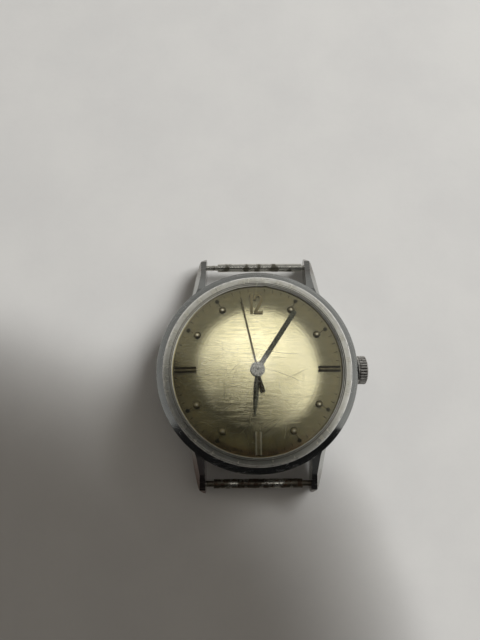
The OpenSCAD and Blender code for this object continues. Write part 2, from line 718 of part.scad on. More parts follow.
module sliding_clutch() {
    color([0.62, 0.62, 0.64]) translate([7.0, 0, stem_z]) rotate([0, 90, 0]) difference() {
        union() {
            linear_extrude(0.4) polygon(leaf_pts(14, 0.15, 0.6, 0.65, 1.2));
            translate([0, 0, 0.4]) cylinder(r = 1.0, h = 0.25);
            translate([0, 0, 0.6]) cylinder(r = 0.7, h = 0.6);
            translate([0, 0, 1.15]) cylinder(r = 1.1, h = 0.55);
        }
        translate([-0.33, -0.33, -1]) cube([0.66, 0.66, 4]);
    }
}
module setting_lever() {
    color([0.66, 0.66, 0.68]) difference() {
        union() {
            link(lever_p, [10.675, -0.12], 0.9, 5.22, 5.42);
            link(lever_p, [11.3, -3.6], 0.7, 5.22, 5.42);
            disc([10.675, -0.05], 0.2, stem_z + 0.38, 5.3);
        }
        disc(lever_p, 0.22, 5, 6);
    }
}
module yoke() {
    color([0.66, 0.66, 0.68]) difference() {
        union() {
            link(yoke_p, [7.9, -0.2], 0.8, 4.98, 5.16);
            translate([7.75, -0.35, stem_z + 0.74]) cube([0.3, 0.7, 5.1 - stem_z - 0.74]);
        }
        disc(yoke_p, 0.37, 4, 6);
    }
}

// Hands; their blades have a ridge along the middle
module ridged(pts, w, z0, z_edge, z1) {
    intersection() {
        slab(pts, z0 - 0.1, z1 + 0.1);
        translate([0, 20, 0]) rotate([90, 0, 0]) linear_extrude(40)
            polygon([[-w, z0], [w, z0], [w, z_edge], [0, z1], [-w, z_edge]]);
    }
}
module hour_hand() {
    color([0.75, 0.66, 0.42]) rotate([0, 0, -hour_angle]) difference() {
        union() {
            disc([0, 0], 1.25, 6.62, 6.76);
            ridged([[-0.3, 0.5], [0.3, 0.5], [0.48, 2.8], [0.42, 5.2], [0.12, hour_len],
                [-0.12, hour_len], [-0.42, 5.2], [-0.48, 2.8]], 0.49, 6.64, 6.69, 6.8);
        }
        disc([0, 0], 0.85, 6, 7);
    }
}
module minute_hand() {
    color([0.75, 0.66, 0.42]) rotate([0, 0, -minute_angle]) difference() {
        union() {
            disc([0, 0], 1.1, 6.98, 7.09);
            ridged([[-0.42, 0.4], [0.42, 0.4], [0.44, minute_len - 0.12],
                [0.3, minute_len], [-0.3, minute_len], [-0.44, minute_len - 0.12]],
                0.45, 6.98, 7.03, 7.12);
        }
        disc([0, 0], 0.62, 6, 8);
    }
}
module seconds_hand() {
    color([0.6, 0.55, 0.4]) rotate([0, 0, -second_angle]) difference() {
        union() {
            disc([0, 0], 1.22, 7.3, 7.42);
            disc([0, 0], 0.42, 7.2, 7.5);
            slab([[-0.13, 0.9], [0.13, 0.9], [0.11, second_len], [-0.11, second_len]], 7.31, 7.41);
            ridged([[-0.15, -0.9], [-0.4, -3.7], [-0.34, -4], [0.34, -4], [0.4, -3.7],
                [0.15, -0.9]], 0.42, 7.31, 7.33, 7.41);
        }
        disc([0, 0], 0.22, 7, 7.4);
    }
}

// Spring bars
module bar_tip(shift_in) {
    union() {
        along_x(lug_x - 0.02, lug_x + 0.8, 0.4, 0, 0);
        along_x(shift_in, lug_x, 0.48, 0, 0);
    }
}
module bar_tube(x0, x1) {
    difference() {
        along_x(x0, x1, 0.75, 0, 0);
        children();
    }
}
module bar_spring(x0, x1, n) {
    p = (x1 - x0 - 0.14) / (n - 1);
    union() {
        for (i = [0 : n - 1]) {
            translate([x0 + 0.07 + i * p, 0, 0]) rotate([0, 90, 0])
                rotate_extrude($fn = 24) translate([0.38, 0]) circle(0.07, $fn = 16);
        }
        for (i = [0 : n - 2]) {
            rotate([i * 180, 0, 0]) along_x(x0 + 0.07 + i * p, x0 + 0.07 + i * p + p, 0.06, 0.38, 0);
        }
    }
}
module at_12() {
    translate([0, bar_y, bar_z]) children();
}
module at_6() {
    translate([0, -bar_y, bar_z]) children();
}
module bar_12_tube() {
    color([0.45, 0.42, 0.38]) at_12() union() {
        bar_tube(-6.95, 8.55) along_x(-8, 7.6, 0.5, 0, 0);
        along_x(8.5, 9, 0.48, 0, 0);
        along_x(8.9, 9.8, 0.4, 0, 0);
    }
}
module bar_12_tip() {
    color([0.55, 0.52, 0.47]) at_12() mirror([1, 0, 0]) bar_tip(3.4);
}
module bar_12_spring() {
    color([0.5, 0.5, 0.5]) at_12() bar_spring(-3.4, 7.6, 23);
}
module bar_6_tube() {
    color([0.4, 0.37, 0.33]) at_6() bar_tube(-7.6, 7.6) along_x(-9, 9, 0.5, 0, 0);
}
module bar_6_left_tip() {
    color([0.5, 0.47, 0.42]) at_6() mirror([1, 0, 0]) bar_tip(4);
}
module bar_6_right_tip() {
    color([0.5, 0.47, 0.42]) at_6() bar_tip(4);
}
module bar_6_spring() {
    color([0.5, 0.5, 0.5]) at_6() bar_spring(-4, 4, 17);
}

mid_case();
case_back();
back_gasket();
crystal();
reflector_ring();
crown_tube();
movement_ring();
dial();
hour_markers();
main_plate();
barrel_bridge();
train_bridge();
pallet_bridge();
balance_cock();
bridge_screws();
crown_wheel_screw();
click_spring();
setting_spring();
barrel_drum();
barrel_cover();
mainspring();
barrel_arbor();
ratchet_wheel();
crown_wheel();
click();
centre_wheel();
centre_arbor();
cannon_pinion();
minute_hand();
third_wheel();
third_arbor();
fourth_wheel();
fourth_arbor();
seconds_hand();
escape_wheel();
escape_arbor();
pallet_fork();
pallet_arbor();
balance_wheel();
balance_staff();
hairspring();
regulator();
minute_wheel();
hour_wheel();
hour_hand();
setting_wheel();
winding_stem();
crown();
crown_gasket();
winding_pinion();
sliding_clutch();
setting_lever();
yoke();
bar_12_tube();
bar_12_tip();
bar_12_spring();
bar_6_tube();
bar_6_left_tip();
bar_6_right_tip();
bar_6_spring();
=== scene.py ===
# Looks of a vintage hand-wound watch head: a material for every CAD piece, the fine pieces that the
# CAD leaves out (dial print, lume, knurled ring, scratches, rust, grime), and a small studio.
import math
import random

import bmesh
import bpy
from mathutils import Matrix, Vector, noise
from mathutils.bvhtree import BVHTree


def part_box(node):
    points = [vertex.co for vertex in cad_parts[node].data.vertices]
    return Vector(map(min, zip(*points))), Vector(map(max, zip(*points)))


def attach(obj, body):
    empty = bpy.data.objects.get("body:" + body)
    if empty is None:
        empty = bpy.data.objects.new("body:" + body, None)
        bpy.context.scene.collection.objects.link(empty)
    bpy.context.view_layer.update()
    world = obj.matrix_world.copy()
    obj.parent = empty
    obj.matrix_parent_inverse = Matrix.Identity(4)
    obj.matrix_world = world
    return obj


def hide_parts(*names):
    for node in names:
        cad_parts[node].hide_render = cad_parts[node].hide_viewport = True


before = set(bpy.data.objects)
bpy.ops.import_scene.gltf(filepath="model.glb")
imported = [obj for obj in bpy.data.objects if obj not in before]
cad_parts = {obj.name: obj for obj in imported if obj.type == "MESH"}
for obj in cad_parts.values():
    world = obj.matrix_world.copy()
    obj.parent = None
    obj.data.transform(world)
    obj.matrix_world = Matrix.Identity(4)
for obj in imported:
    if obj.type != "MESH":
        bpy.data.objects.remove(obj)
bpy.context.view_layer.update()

MM = 0.001
ABOVE = 50.0  # a height over the whole watch, where rays start
chance = random.Random(12)  # seeded, so that each run gives the same result


# ---------------------------------------------------------------- places, in millimetres
def box_mm(node):
    """Lowest and highest corner of a CAD node in millimetres."""
    lo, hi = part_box(node)
    return lo / MM, hi / MM


class Surface:
    """The top side of a CAD node, asked for its height at a place in plan."""

    def __init__(self, node):
        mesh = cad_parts[node].data
        corners = [v.co / MM for v in mesh.vertices]
        faces = [tuple(p.vertices) for p in mesh.polygons]
        self.tree = BVHTree.FromPolygons(corners, faces)

    def height(self, x, y):
        """Height of the surface above (x, y)."""
        return self.tree.ray_cast(Vector((x, y, ABOVE)), Vector((0, 0, -1)))[0].z


case_hi = box_mm("mid_case")[1]
crystal_lo, crystal_hi = box_mm("crystal")
ring_lo, ring_hi = box_mm("reflector_ring")
crown_lo, crown_hi = box_mm("crown")
stem_z = (crown_lo.z + crown_hi.z) / 2
crystal_r = crystal_hi.x
# painted shade goes along these radii
GROOVES = (ring_hi.x - 0.46, ring_hi.x - 0.76)  # radii of the dark lines between the ring's steps
RING_WALL_R = 14.53  # inside of the ring, above its skirt
dial_face = Surface("dial")
crystal_face = Surface("crystal")


def bar_places(tube):
    """Middle of a spring bar's tube, its radius and the two ends of the tube."""
    lo, hi = box_mm(tube)
    return (lo + hi) / 2, (hi.y - lo.y) / 2, lo.x, hi.x


# ---------------------------------------------------------------- material building
class Nodes:
    """Helpers that lay out shader nodes in a tree."""

    def __init__(self, tree):
        self.tree = tree

    def add(self, kind, inputs=(), **settings):
        """Adds a node, sets its properties, and links or sets its inputs."""
        node = self.tree.nodes.new("ShaderNode" + kind)
        for name, value in settings.items():
            setattr(node, name, value)
        for name, value in dict(inputs).items():
            if isinstance(value, bpy.types.NodeSocket):
                self.tree.links.new(value, node.inputs[name])
            else:
                node.inputs[name].default_value = value
        return node

    def calc(self, operation, *values):
        """Result of a Math node."""
        return self.add("Math", dict(enumerate(values)), operation=operation).outputs[0]

    def times(self, first, second):
        """Product."""
        return self.calc("MULTIPLY", first, second)

    def plus(self, first, second):
        """Sum."""
        return self.calc("ADD", first, second)

    def minus(self, first, second):
        """Difference."""
        return self.calc("SUBTRACT", first, second)

    def size(self, value):
        """Value without its sign."""
        return self.calc("ABSOLUTE", value)

    def hypot(self, first, second):
        """Length of the diagonal."""
        squares = self.times(first, first), self.times(second, second)
        return self.calc("SQRT", self.plus(*squares))

    def most(self, *values):
        """The largest of several values."""
        result = values[0]
        for value in values[1:]:
            result = self.calc("MAXIMUM", result, value)
        return result

    def span(self, value, start, end, low=0.0, high=1.0):
        """Smooth step from low to high as value goes from start to end."""
        inputs = {"Value": value, 1: start, 2: end, 3: low, 4: high}
        return self.add("MapRange", inputs, interpolation_type="SMOOTHSTEP").outputs["Result"]

    def blend(self, amount, first, second):
        """Colour that goes from first to second."""
        inputs = {0: amount, 6: first, 7: second}
        return self.add("Mix", inputs, data_type="RGBA").outputs[2]


class Look(Nodes):
    """A procedural material under construction; its textures are laid out in millimetres."""

    def __init__(self, name, **constants):
        self.material = bpy.data.materials.new(name)
        self.material.use_nodes = True
        super().__init__(self.material.node_tree)
        self.shader = self.tree.nodes["Principled BSDF"]
        for socket, value in constants.items():
            self.shader.inputs[socket.replace("_", " ")].default_value = value
        object_place = self.add("TexCoord").outputs["Object"]
        scaled = self.add("VectorMath", {0: object_place, "Scale": 1 / MM}, operation="SCALE")
        self.place = scaled.outputs["Vector"]
        axes = self.add("SeparateXYZ", {0: self.place})
        self.x, self.y, self.z = axes.outputs

    def set(self, socket, value):
        """Links a socket of the shader."""
        self.tree.links.new(value, self.shader.inputs[socket])

    def turned(self, angle=0.0, scale=(1, 1, 1), shift=(0, 0, 0)):
        """The place, turned about Z by degrees, stretched and shifted."""
        inputs = {"Vector": self.place, "Rotation": (0, 0, math.radians(angle)),
                  "Scale": scale, "Location": shift}
        return self.add("Mapping", inputs).outputs["Vector"]

    def cloud(self, scale, detail=3.0, roughness=0.55, where=None, warp=0.0):
        """Noise from 0 to 1, with scale features per millimetre."""
        inputs = {"Vector": where or self.place, "Scale": scale, "Detail": detail,
                  "Roughness": roughness, "Distortion": warp}
        return self.add("TexNoise", inputs).outputs["Fac"]

    def specks(self, scale, size, share):
        """Round dots of a radius of size cells, in a share of the cells."""
        cells = self.add("TexVoronoi", {"Vector": self.place, "Scale": scale})
        dot = self.span(cells.outputs["Distance"], size, size * 0.5)
        pick = self.add("SeparateColor", {0: cells.outputs["Color"]}).outputs[0]
        return self.times(dot, self.calc("LESS_THAN", pick, share))

    def hairlines(self, angle, spacing, width, share):
        """Long thin scratches along one direction, broken up at random."""
        length = spacing * 12.0
        where = self.turned(angle, (1 / length, 1 / spacing, 1 / spacing), (angle, angle * 0.37, 0))
        field = self.cloud(1.0, 1.0, 0.4, where)
        line = self.span(self.size(self.minus(field, 0.5)), width, 0.0)
        patch = self.cloud(0.16 / spacing, 2.0, 0.5, self.turned(angle + 40, shift=(9, angle, 3)))
        start = 0.62 - share * 0.3
        return self.times(line, self.span(patch, start, start + 0.08))

    def edges_worn_and_shaded(self, radius):
        """Mask of the sharp edges and the rounded normal; the edges show worn plating, and on the
        markers they carry painted shade.
        """
        rounded = self.add("Bevel", {"Radius": radius * MM}, samples=4).outputs["Normal"]
        normal = self.add("NewGeometry").outputs["True Normal"]
        facing = self.add("VectorMath", {0: rounded, 1: normal}, operation="DOT_PRODUCT")
        return self.span(facing.outputs["Value"], 0.985, 0.86), rounded

    def relief(self, height, depth, below=None):
        """Bump of a depth in millimetres, laid over another normal."""
        inputs = {"Height": height, "Strength": 1.0, "Distance": depth * MM}
        if below is not None:
            inputs["Normal"] = below
        return self.add("Bump", inputs).outputs["Normal"]

    def radius(self):
        """Distance from the watch's axis."""
        return self.hypot(self.x, self.y)

    def angle(self):
        """Angle about the watch's axis, in radians."""
        return self.calc("ARCTAN2", self.y, self.x)

    def combine(self, x, y, z):
        """Vector of three values."""
        return self.add("CombineXYZ", {0: x, 1: y, 2: z}).outputs[0]


def rgb(r, g, b):
    """Colour with full opacity."""
    return (r, g, b, 1.0)


def metal(name, colour, tarnish, rough, grain=3.0, scratch=0.4, dirt=0.0, bevel=0.0, pit=0.0):
    """Metal with tarnish in clouds, brushed grain, hairline scratches, pits and dirt.

    rough is the roughness where it is clean and where it is dull."""
    look = Look(name, Metallic=1.0)
    clouds = look.cloud(0.45, 5.0, 0.6)
    fine = look.cloud(grain, 4.0, 0.65)
    lines = look.most(look.hairlines(24, 0.5, 0.035, scratch),
                      look.hairlines(112, 0.7, 0.03, scratch),
                      look.hairlines(71, 1.1, 0.02, scratch * 0.8))
    dull = look.span(clouds, 0.42, 0.72)
    base = look.blend(dull, rgb(*colour), rgb(*tarnish))
    base = look.blend(look.times(fine, 0.18), base, rgb(*tarnish))
    roughness = look.span(look.plus(clouds, look.times(fine, 0.35)), 0.45, 0.95, rough[0], rough[1])
    height = look.minus(look.times(fine, 0.25), lines)
    below = None
    if bevel:
        edge, below = look.edges_worn_and_shaded(bevel)
        base = look.blend(look.times(edge, 0.45), base, rgb(*[min(1.0, c * 1.35) for c in colour]))
    if pit:
        holes = look.specks(2.6, 0.3, pit)
        base = look.blend(holes, base, rgb(0.03, 0.025, 0.02))
        height = look.minus(height, holes)
        roughness = look.most(roughness, look.times(holes, 0.7))
    if dirt:
        film = look.span(look.cloud(0.9, 6.0, 0.7, look.turned(0, shift=(5, 2, 7))),
                         0.75 - dirt * 0.35, 0.9 - dirt * 0.3)
        base = look.blend(look.times(film, 0.75), base, rgb(0.05, 0.038, 0.024))
        roughness = look.most(roughness, look.times(film, 0.62))
    look.set("Base Color", base)
    look.set("Roughness", look.plus(roughness, look.times(lines, 0.12)))
    look.set("Normal", look.relief(height, 0.0025, below))
    return look


# ---------------------------------------------------------------- looks of the case
def case_chrome():
    """Polished chrome plate, greyed and scratched, brassy at the rubbed edges, grimy in corners,
    with a painted highlight along the bezel lip.
    """
    look = Look("case_chrome")
    radius = look.radius()
    clouds = look.cloud(0.3, 4.0, 0.55)
    fine = look.cloud(7.0, 3.0, 0.6)
    edge, rounded = look.edges_worn_and_shaded(0.05)
    lines = look.most(look.hairlines(15, 0.7, 0.02, 0.3), look.hairlines(98, 0.9, 0.02, 0.3),
                      look.hairlines(140, 1.3, 0.016, 0.4), look.hairlines(60, 1.9, 0.012, 0.5))
    base = look.blend(look.span(clouds, 0.3, 0.75), rgb(0.62, 0.625, 0.61), rgb(0.54, 0.545, 0.53))
    base = look.blend(look.times(edge, look.span(clouds, 0.4, 0.6, 0.1, 0.55)), base,
                      rgb(0.80, 0.76, 0.66))
    # tarnish creeps over the lugs and stains one of them red-brown
    lug = look.span(look.size(look.y), 15.5, 18.5)
    stained = look.times(lug, look.span(look.cloud(0.7, 4.0, 0.65), 0.42, 0.66, 0.6, 0.9))
    base = look.blend(stained, base, rgb(0.34, 0.32, 0.30))
    red = look.times(look.span(look.y, -12.5, -16.0), look.span(look.x, -8.0, -9.6))
    base = look.blend(look.times(red, 0.55), base, rgb(0.26, 0.15, 0.13))
    # painted highlight: the bezel's lip is painted pale and partly matt, so that the lamp makes a
    # bright line of it, broken up a little
    lip = look.times(look.span(look.z, 6.86, 6.93), look.span(radius, 16.14, 16.08))
    lip = look.times(lip, look.span(look.cloud(1.1, 3.0, 0.6), 0.3, 0.6, 0.45, 1.0))
    base = look.blend(lip, base, rgb(0.86, 0.85, 0.80))
    look.set("Metallic", look.span(lip, 0.0, 1.0, 1.0, 0.35))
    # grime in the step under the bezel lip, and dark pits
    step = look.times(look.span(look.z, 6.98, 6.6), look.span(radius, 16.36, 16.2))
    step = look.times(step, look.span(look.cloud(1.6, 4.0, 0.7), 0.3, 0.62, 0.10, 0.60))
    pits = look.specks(1.3, 0.13, 0.07)
    dirt = look.most(step, look.times(pits, 0.8))
    base = look.blend(dirt, base, rgb(0.04, 0.034, 0.026))
    rough = look.span(look.plus(clouds, look.times(fine, 0.3)), 0.4, 0.9, 0.09, 0.18)
    rough = look.plus(rough, look.times(stained, 0.12))
    rough = look.most(rough, look.times(dirt, 0.7))
    look.set("Base Color", base)
    look.set("Roughness", look.plus(rough, look.times(lines, 0.15)))
    height = look.minus(look.times(fine, 0.1), look.plus(lines, look.times(pits, 2.0)))
    look.set("Normal", look.relief(height, 0.0012, rounded))
    return look


def back_steel():
    """Stainless snap back, turned in fine rings, with wrist wear and long scratches."""
    look = Look("back_steel", Metallic=1.0, Anisotropic=0.35)
    radius, angle = look.radius(), look.angle()
    rings = look.cloud(1.0, 2.0, 0.6,
                       look.combine(look.times(radius, 9.0), look.times(angle, 1.2), 0.0))
    clouds = look.cloud(0.22, 5.0, 0.6)
    lines = look.most(look.hairlines(33, 0.6, 0.04, 0.7), look.hairlines(120, 0.8, 0.035, 0.7),
                      look.hairlines(80, 1.5, 0.03, 0.8))
    edge, rounded = look.edges_worn_and_shaded(0.08)
    base = look.blend(look.span(clouds, 0.35, 0.7), rgb(0.62, 0.62, 0.61), rgb(0.47, 0.46, 0.44))
    film = look.span(look.cloud(0.8, 6.0, 0.7, look.turned(20, shift=(3, 8, 1))), 0.58, 0.78)
    rim = look.span(radius, 14.6, 15.9)
    film = look.times(film, look.plus(0.35, look.times(rim, 0.65)))
    base = look.blend(film, base, rgb(0.10, 0.08, 0.055))
    base = look.blend(look.times(edge, 0.4), base, rgb(0.75, 0.75, 0.74))
    look.set("Base Color", base)
    rough = look.span(look.plus(rings, clouds), 0.7, 1.3, 0.24, 0.40)
    look.set("Roughness", look.most(rough, look.times(film, 0.65)))
    height = look.minus(look.times(rings, 0.6), lines)
    look.set("Normal", look.relief(height, 0.003, rounded))
    return look


def gasket():
    """Black rubber with a dusty bloom."""
    look = Look("gasket")
    bloom = look.span(look.cloud(1.2, 5.0, 0.65), 0.45, 0.75)
    look.set("Base Color", look.blend(bloom, rgb(0.018, 0.018, 0.018), rgb(0.07, 0.068, 0.062)))
    look.set("Roughness", look.span(bloom, 0, 1, 0.55, 0.85))
    look.set("Normal", look.relief(look.cloud(9.0, 3.0, 0.6), 0.006))
    return look


def acrylic():
    """Clear domed acrylic under a haze of fine scratches; lamps reach the dial through it."""
    look = Look("acrylic", Transmission_Weight=1.0, IOR=1.49, Base_Color=rgb(0.985, 0.982, 0.955))
    radius, angle = look.radius(), look.angle()
    lines = look.most(look.hairlines(10, 0.9, 0.024, 0.8), look.hairlines(64, 1.2, 0.02, 0.8),
                      look.hairlines(118, 0.8, 0.022, 0.7), look.hairlines(150, 1.6, 0.016, 0.9))
    swirl = look.cloud(1.0, 1.0, 0.4,
                       look.combine(look.times(radius, 2.2), look.times(angle, 1.1), 4.0), 0.3)
    swirl = look.span(look.size(look.minus(swirl, 0.5)), 0.02, 0.0)
    swirl = look.times(swirl, look.span(look.cloud(0.12, 2.0, 0.5), 0.45, 0.6))
    wear = look.span(radius, 14.2, 13.2)
    marks = look.times(look.most(lines, swirl), wear)
    haze = look.span(look.cloud(0.35, 5.0, 0.65), 0.4, 0.75, 0.01, 0.05)
    haze = look.times(haze, wear)
    look.set("Roughness", look.plus(haze, look.times(marks, 0.16)))
    dents = look.times(look.cloud(0.5, 2.0, 0.5), 0.5)
    look.set("Normal", look.relief(look.minus(dents, marks), 0.0025))
    let_lamps_through(look)
    return look


def let_lamps_through(look):
    """Shadow rays pass straight through a glass material."""
    output = look.tree.nodes["Material Output"]
    clear = look.add("BsdfTransparent", {"Color": rgb(0.93, 0.925, 0.90)})
    lamp = look.add("LightPath").outputs["Is Shadow Ray"]
    both = look.add("MixShader", {0: lamp, 1: look.shader.outputs[0], 2: clear.outputs[0]})
    look.tree.links.new(both.outputs[0], output.inputs["Surface"])


def chrome_ring():
    """Bright tension ring, yellowed, with dark specks, and painted shade in the grooves between its
    steps.
    """
    look = Look("reflector")
    radius = look.radius()
    clouds = look.cloud(0.8, 5.0, 0.6)
    base = look.blend(look.span(clouds, 0.35, 0.7), rgb(0.90, 0.89, 0.85), rgb(0.76, 0.74, 0.66))
    specks = look.times(look.specks(2.6, 0.26, 0.3), look.span(radius, 15.12, 15.02))
    # painted shade: dark lines along the grooves between the steps, mixed in with the dark specks
    groove_shade = [look.span(look.size(look.minus(radius, groove)), 0.10, 0.05) for groove in GROOVES]
    dirt = look.most(look.times(specks, 0.6), look.times(look.most(*groove_shade), 0.8))
    wall = look.span(radius, RING_WALL_R + 0.03, RING_WALL_R + 0.01)
    look.set("Base Color", look.blend(dirt, base, rgb(0.05, 0.042, 0.028)))
    look.set("Metallic", look.span(wall, 0.0, 1.0, 0.45, 0.0))
    rough = look.most(look.span(clouds, 0.3, 0.8, 0.16, 0.34), look.times(wall, 0.6))
    look.set("Roughness", look.most(rough, look.times(dirt, 0.7)))
    look.set("Normal", look.relief(look.cloud(12.0, 3.0, 0.6), 0.003))
    return look


# ---------------------------------------------------------------- looks of the dial side
def champagne_dial():
    """Satin champagne gold, browned towards its edge, with tarnish specks and an old stain."""
    look = Look("dial", Metallic=1.0, Coat_Weight=0.12, Coat_Roughness=0.35)
    radius = look.radius()
    clouds = look.cloud(0.16, 5.0, 0.6)
    grain = look.cloud(9.0, 3.0, 0.7)
    brushed = look.cloud(1.0, 2.0, 0.6, look.turned(0, (0.35, 9.0, 1.0)))
    crossed = look.cloud(1.0, 2.0, 0.6, look.turned(90, (0.35, 9.0, 1.0)))
    base = look.blend(look.span(clouds, 0.3, 0.7), rgb(0.84, 0.79, 0.56), rgb(0.76, 0.71, 0.47))
    base = look.blend(look.times(grain, 0.22), base, rgb(0.60, 0.53, 0.30))
    rim = look.span(radius, 10.0, 14.4)
    base = look.blend(look.times(rim, 0.45), base, rgb(0.55, 0.46, 0.24))
    south = look.times(look.span(look.y, -9.0, -13.5), look.span(radius, 12.6, 14.2))
    stain = look.times(south, look.span(look.cloud(0.5, 5.0, 0.65), 0.3, 0.6, 0.12, 0.5))
    base = look.blend(stain, base, rgb(0.46, 0.22, 0.09))
    specks = look.most(look.specks(1.1, 0.09, 0.16), look.specks(2.3, 0.12, 0.12),
                       look.times(look.specks(3.4, 0.2, 0.3), rim))
    base = look.blend(look.times(specks, 0.7), base, rgb(0.10, 0.07, 0.03))
    look.set("Base Color", base)
    rough = look.span(look.plus(clouds, look.times(grain, 0.4)), 0.4, 1.0, 0.08, 0.115)
    look.set("Roughness", look.most(rough, look.times(stain, 0.5)))
    height = look.plus(look.times(look.plus(brushed, crossed), 0.5), grain)
    look.set("Normal", look.relief(look.minus(height, specks), 0.0008))
    return look


def gilt_markers():
    """Applied gilt figures, oxidised to a dark olive gold, with painted shade on their edges and
    sides, painted dark reflections on the bars at three and nine, and painted highlights on the
    pearls and the bar at six.
    """
    look = Look("markers")
    edge, rounded = look.edges_worn_and_shaded(0.10)
    upright = look.add("SeparateXYZ", {0: look.add("NewGeometry").outputs["Normal"]}).outputs[2]
    side_wall_shade = look.span(upright, 0.80, 0.55)
    clouds = look.cloud(1.4, 4.0, 0.6)
    base = look.blend(look.span(clouds, 0.3, 0.7), rgb(0.62, 0.54, 0.33), rgb(0.44, 0.37, 0.21))
    # painted reflection: the facets of the bars at three and nine are painted near black for the
    # dark side of the room that they mirror
    wide, high = look.size(look.x), look.size(look.y)
    bars_painted_dark = look.times(look.span(wide, 9.0, 9.4), look.span(high, 0.7, 0.6))
    facets = look.span(high, 0.10, 0.16)
    base = look.blend(look.times(bars_painted_dark, facets), base, rgb(0.085, 0.075, 0.045))
    # painted shade: the sharp edges and the steep sides of each figure are darkened into a dark
    # outline
    base = look.blend(look.times(edge, 0.75), base, rgb(0.09, 0.075, 0.04))
    base = look.blend(look.times(side_wall_shade, 0.85), base, rgb(0.06, 0.05, 0.03))
    specks = look.specks(5.0, 0.25, 0.2)
    base = look.blend(look.times(specks, 0.7), base, rgb(0.06, 0.045, 0.02))
    # painted highlights: the tops of the pearls and two rails on the bar at six are painted pale
    # and made matt, so the lamp lights them in place of a mirrored light
    pearl = look.times(look.span(wide, 4.0, 4.4), look.span(high, 1.2, 1.6))
    tip = look.times(pearl, look.span(upright, 0.93, 0.96))
    rail = look.span(look.size(look.minus(wide, 0.40)), 0.14, 0.08)
    rail = look.times(rail, look.span(look.y, -9.4, -9.8))
    pale = look.times(look.most(tip, rail), look.span(clouds, 0.25, 0.75, 1.0, 0.6))
    look.set("Base Color", look.blend(pale, base, rgb(0.80, 0.76, 0.60)))
    look.set("Metallic", look.span(pale, 0.0, 1.0, 1.0, 0.15))
    look.set("Roughness", look.span(clouds, 0.3, 0.8, 0.30, 0.42))
    look.set("Normal", look.relief(look.cloud(8.0, 3.0, 0.6), 0.002, rounded))
    return look


def hand_metal(name, bright, dark, bright_until, dark_from):
    """Plated hand that is clean round its hub and tarnished dark towards its tip."""
    look = Look(name, Metallic=1.0)
    radius = look.radius()
    mottle = look.cloud(3.5, 5.0, 0.65)
    reach = look.plus(radius, look.times(mottle, 0.8))
    base = look.blend(look.span(reach, bright_until, dark_from), rgb(*bright), rgb(*dark))
    base = look.blend(look.span(mottle, 0.5, 0.75, 0.0, 0.45), base, rgb(*[c * 0.4 for c in dark]))
    edge, rounded = look.edges_worn_and_shaded(0.04)
    base = look.blend(look.times(edge, 0.5), base, rgb(0.10, 0.10, 0.07))
    base = look.blend(look.span(radius, 0.26, 0.16), base, rgb(0.03, 0.03, 0.025))
    look.set("Base Color", base)
    look.set("Roughness", look.span(mottle, 0.3, 0.8, 0.18, 0.38))
    look.set("Normal", look.relief(mottle, 0.003, rounded))
    return look


def print_ink():
    """Black dial print, browned by age."""
    look = Look("dial_ink")
    fade = look.cloud(2.2, 4.0, 0.6)
    look.set("Base Color", look.blend(look.span(fade, 0.4, 0.7), rgb(0.02, 0.017, 0.012),
                                      rgb(0.13, 0.10, 0.055)))
    look.set("Roughness", look.span(fade, 0.3, 0.7, 0.35, 0.6))
    look.set("Normal", look.relief(look.cloud(14.0, 2.0, 0.6), 0.002))
    return look


def aged_lume():
    """Luminous paint gone dark green-brown and crusty."""
    look = Look("aged_lume")
    crust = look.cloud(6.0, 5.0, 0.7)
    look.set("Base Color", look.blend(look.span(crust, 0.35, 0.7), rgb(0.016, 0.015, 0.009),
                                      rgb(0.055, 0.05, 0.028)))
    look.set("Roughness", look.span(crust, 0.3, 0.7, 0.6, 0.9))
    look.set("Normal", look.relief(crust, 0.03))
    return look


# ---------------------------------------------------------------- looks of crown and bars
def crown_steel():
    """Dark worn crown with dirt packed between its ribs."""
    look = Look("crown", Metallic=0.75)
    across = look.minus(look.z, stem_z)
    reach = look.hypot(look.y, across)
    clouds = look.cloud(1.1, 5.0, 0.65)
    edge, rounded = look.edges_worn_and_shaded(0.07)
    base = look.blend(look.span(clouds, 0.3, 0.7), rgb(0.62, 0.61, 0.58), rgb(0.38, 0.365, 0.34))
    base = look.blend(look.times(edge, 0.55), base, rgb(0.72, 0.70, 0.66))
    ribbed = look.times(look.span(look.x, 17.80, 17.95), look.span(look.x, 19.2, 19.05))
    valley = look.times(look.span(reach, 2.46, 2.34), ribbed)
    film = look.span(look.cloud(2.2, 5.0, 0.7), 0.45, 0.7, 0.0, 0.6)
    dirt = look.most(look.times(valley, 0.85), film)
    look.set("Base Color", look.blend(dirt, base, rgb(0.035, 0.028, 0.02)))
    look.set("Roughness", look.most(look.span(clouds, 0.3, 0.7, 0.2, 0.4), look.times(dirt, 0.62)))
    look.set("Normal", look.relief(look.cloud(6.0, 4.0, 0.65), 0.006, rounded))
    return look


